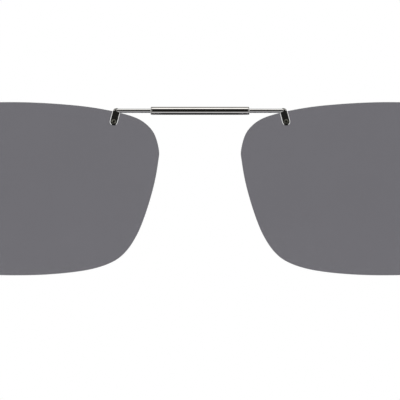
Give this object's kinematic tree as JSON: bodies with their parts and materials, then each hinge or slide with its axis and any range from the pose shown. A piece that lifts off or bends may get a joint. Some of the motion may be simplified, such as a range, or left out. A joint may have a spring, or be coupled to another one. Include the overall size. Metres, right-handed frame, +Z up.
{
  "type": "clip-on sunglasses",
  "caption": "Rimless clip-on sun lenses on a sprung wire bridge: each grey lens pulls out against its spring, swivels about the bridge and grips spectacles with wire hooks.",
  "frame": {"origin": "middle of the bridge tube, on its axis", "axes": "+X across the face from left to right as seen from the front, +Z up as worn, lens fronts face -Y"},
  "size_m": [0.127, 0.0084, 0.0359],
  "materials": {
    "polished_tube": "polished, fine lengthwise drawing marks",
    "polished_bush": "polished",
    "polished_wire": "polished",
    "spring_steel": "drawn wire, lightly oiled",
    "turned_steel": "turned",
    "grey_lens": "polished tinted lens with a ground edge",
    "black_foot": "black, satin",
    "dark_screw": "blackened, worn on the head",
    "nut_steel": "satin",
    "clear_pad": "translucent, satin",
    "soft_tip": "matte"
  },
  "bodies": {
    "bridge": {"bridge_tube": "polished_tube", "left_end_bush": "polished_bush", "right_end_bush": "polished_bush", "left_spring": "spring_steel", "right_spring": "spring_steel"},
    "left_slider": {"left_thrust_washer": "turned_steel"},
    "left_half": {"left_rod_head": "turned_steel", "left_bridge_wire": "polished_wire", "left_lens": "grey_lens", "left_upper_hook": "polished_wire", "left_upper_foot": "black_foot", "left_upper_screw": "dark_screw", "left_upper_nut": "nut_steel", "left_upper_pad": "clear_pad", "left_upper_tip": "soft_tip", "left_outer_hook": "polished_wire", "left_outer_foot": "black_foot", "left_outer_screw": "dark_screw", "left_outer_nut": "nut_steel", "left_outer_pad": "clear_pad", "left_outer_tip": "soft_tip"},
    "right_slider": {"right_thrust_washer": "turned_steel"},
    "right_half": {"right_rod_head": "turned_steel", "right_bridge_wire": "polished_wire", "right_lens": "grey_lens", "right_upper_hook": "polished_wire", "right_upper_foot": "black_foot", "right_upper_screw": "dark_screw", "right_upper_nut": "nut_steel", "right_upper_pad": "clear_pad", "right_upper_tip": "soft_tip", "right_outer_hook": "polished_wire", "right_outer_foot": "black_foot", "right_outer_screw": "dark_screw", "right_outer_nut": "nut_steel", "right_outer_pad": "clear_pad", "right_outer_tip": "soft_tip"}
  },
  "joints": [
    {"name": "left_slide", "type": "slide", "parent": "bridge", "child": "left_slider", "axis": [-1, 0, 0], "range_m": [0, 0.004], "stiffness_N_per_m": 640, "springref_m": -0.0015, "deforming": ["left_spring"]},
    {"name": "left_swivel", "type": "hinge", "parent": "left_slider", "child": "left_half", "pos_m": [0, 0, 0], "axis": [1, 0, 0], "continuous": true},
    {"name": "right_slide", "type": "slide", "parent": "bridge", "child": "right_slider", "axis": [1, 0, 0], "range_m": [0, 0.004], "stiffness_N_per_m": 640, "springref_m": -0.0015, "deforming": ["right_spring"]},
    {"name": "right_swivel", "type": "hinge", "parent": "right_slider", "child": "right_half", "pos_m": [0, 0, 0], "axis": [1, 0, 0], "continuous": true}
  ]
}
